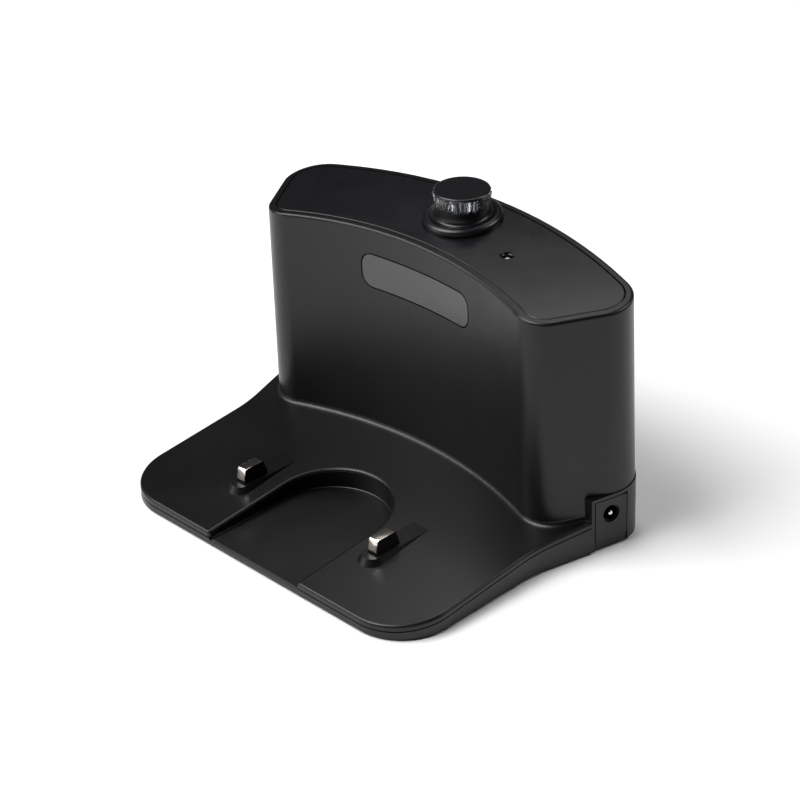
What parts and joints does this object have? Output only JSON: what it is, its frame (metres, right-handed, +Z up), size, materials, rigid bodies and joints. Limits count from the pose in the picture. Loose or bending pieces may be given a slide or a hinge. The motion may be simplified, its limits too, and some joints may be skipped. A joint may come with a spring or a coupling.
{
  "type": "robot vacuum charging dock",
  "caption": "Charging dock with a sloping deck, a caster recess, sprung contacts, and a curved tower that carries a beacon, an infrared window and a side power inlet.",
  "frame": {"origin": "on the floor, in the middle of the width and depth, under the rubber feet", "axes": "+X to the right along the width, to the side with the power inlet; +Y from the deck's front edge to the tower's back; +Z up"},
  "size_m": [0.1822, 0.1393, 0.1185],
  "materials": {
    "housing_plastic": "fine satin grain",
    "tray_plastic": "fine satin grain",
    "cap_plastic": "fine satin grain",
    "window_plastic": "smooth satin, dark to visible light",
    "beacon_black": "polished",
    "clear_lens": "clear moulded plastic, faceted",
    "led_clear": "clear cast resin",
    "led_red": "diffused cast resin",
    "board_green": "solder mask",
    "chip_black": "moulded epoxy",
    "can_aluminium": "plain can",
    "ferrite": "sintered",
    "connector_white": "natural nylon",
    "contact_nickel": "nickel plate, lightly brushed",
    "terminal_brass": "stamped",
    "spring_steel": "drawn wire",
    "ballast_steel": "zinc plated",
    "screw_steel": "zinc plated",
    "jack_plastic": "moulded",
    "foot_rubber": "matt"
  },
  "bodies": {
    "dock": {"upper_housing": "housing_plastic", "base_tray": "tray_plastic", "top_cap": "cap_plastic", "beacon_lens": "clear_lens", "beacon_cap": "beacon_black", "beacon_board": "board_green", "beacon_leds": "led_clear", "top_board": "board_green", "top_board_screws": "screw_steel", "indicator_led": "led_red", "ir_window": "window_plastic", "emitter_board": "board_green", "ir_emitters": "led_clear", "emitter_board_screws": "screw_steel", "main_board": "board_green", "main_board_screws": "screw_steel", "filter_capacitor": "can_aluminium", "power_inductor": "ferrite", "control_chip": "chip_black", "lead_connectors": "connector_white", "jack_panel": "tray_plastic", "dc_jack": "jack_plastic", "dc_jack_pin": "contact_nickel", "ballast_plate": "ballast_steel", "rubber_feet": "foot_rubber", "front_case_screws": "screw_steel", "rear_case_screws": "screw_steel", "left_contact_spring": "spring_steel", "left_contact_terminal": "terminal_brass", "right_contact_spring": "spring_steel", "right_contact_terminal": "terminal_brass"},
    "left_contact": {"left_contact_block": "jack_plastic", "left_contact_strip": "contact_nickel"},
    "right_contact": {"right_contact_block": "jack_plastic", "right_contact_strip": "contact_nickel"}
  },
  "joints": [
    {"name": "left_contact_slide", "type": "slide", "parent": "dock", "child": "left_contact", "axis": [0, 0, 1], "range_m": [-0.0025, 0], "stiffness_N_per_m": 400, "springref_m": 0.004, "deforming": ["left_contact_spring"]},
    {"name": "right_contact_slide", "type": "slide", "parent": "dock", "child": "right_contact", "axis": [0, 0, 1], "range_m": [-0.0025, 0], "stiffness_N_per_m": 400, "springref_m": 0.004, "deforming": ["right_contact_spring"]}
  ]
}
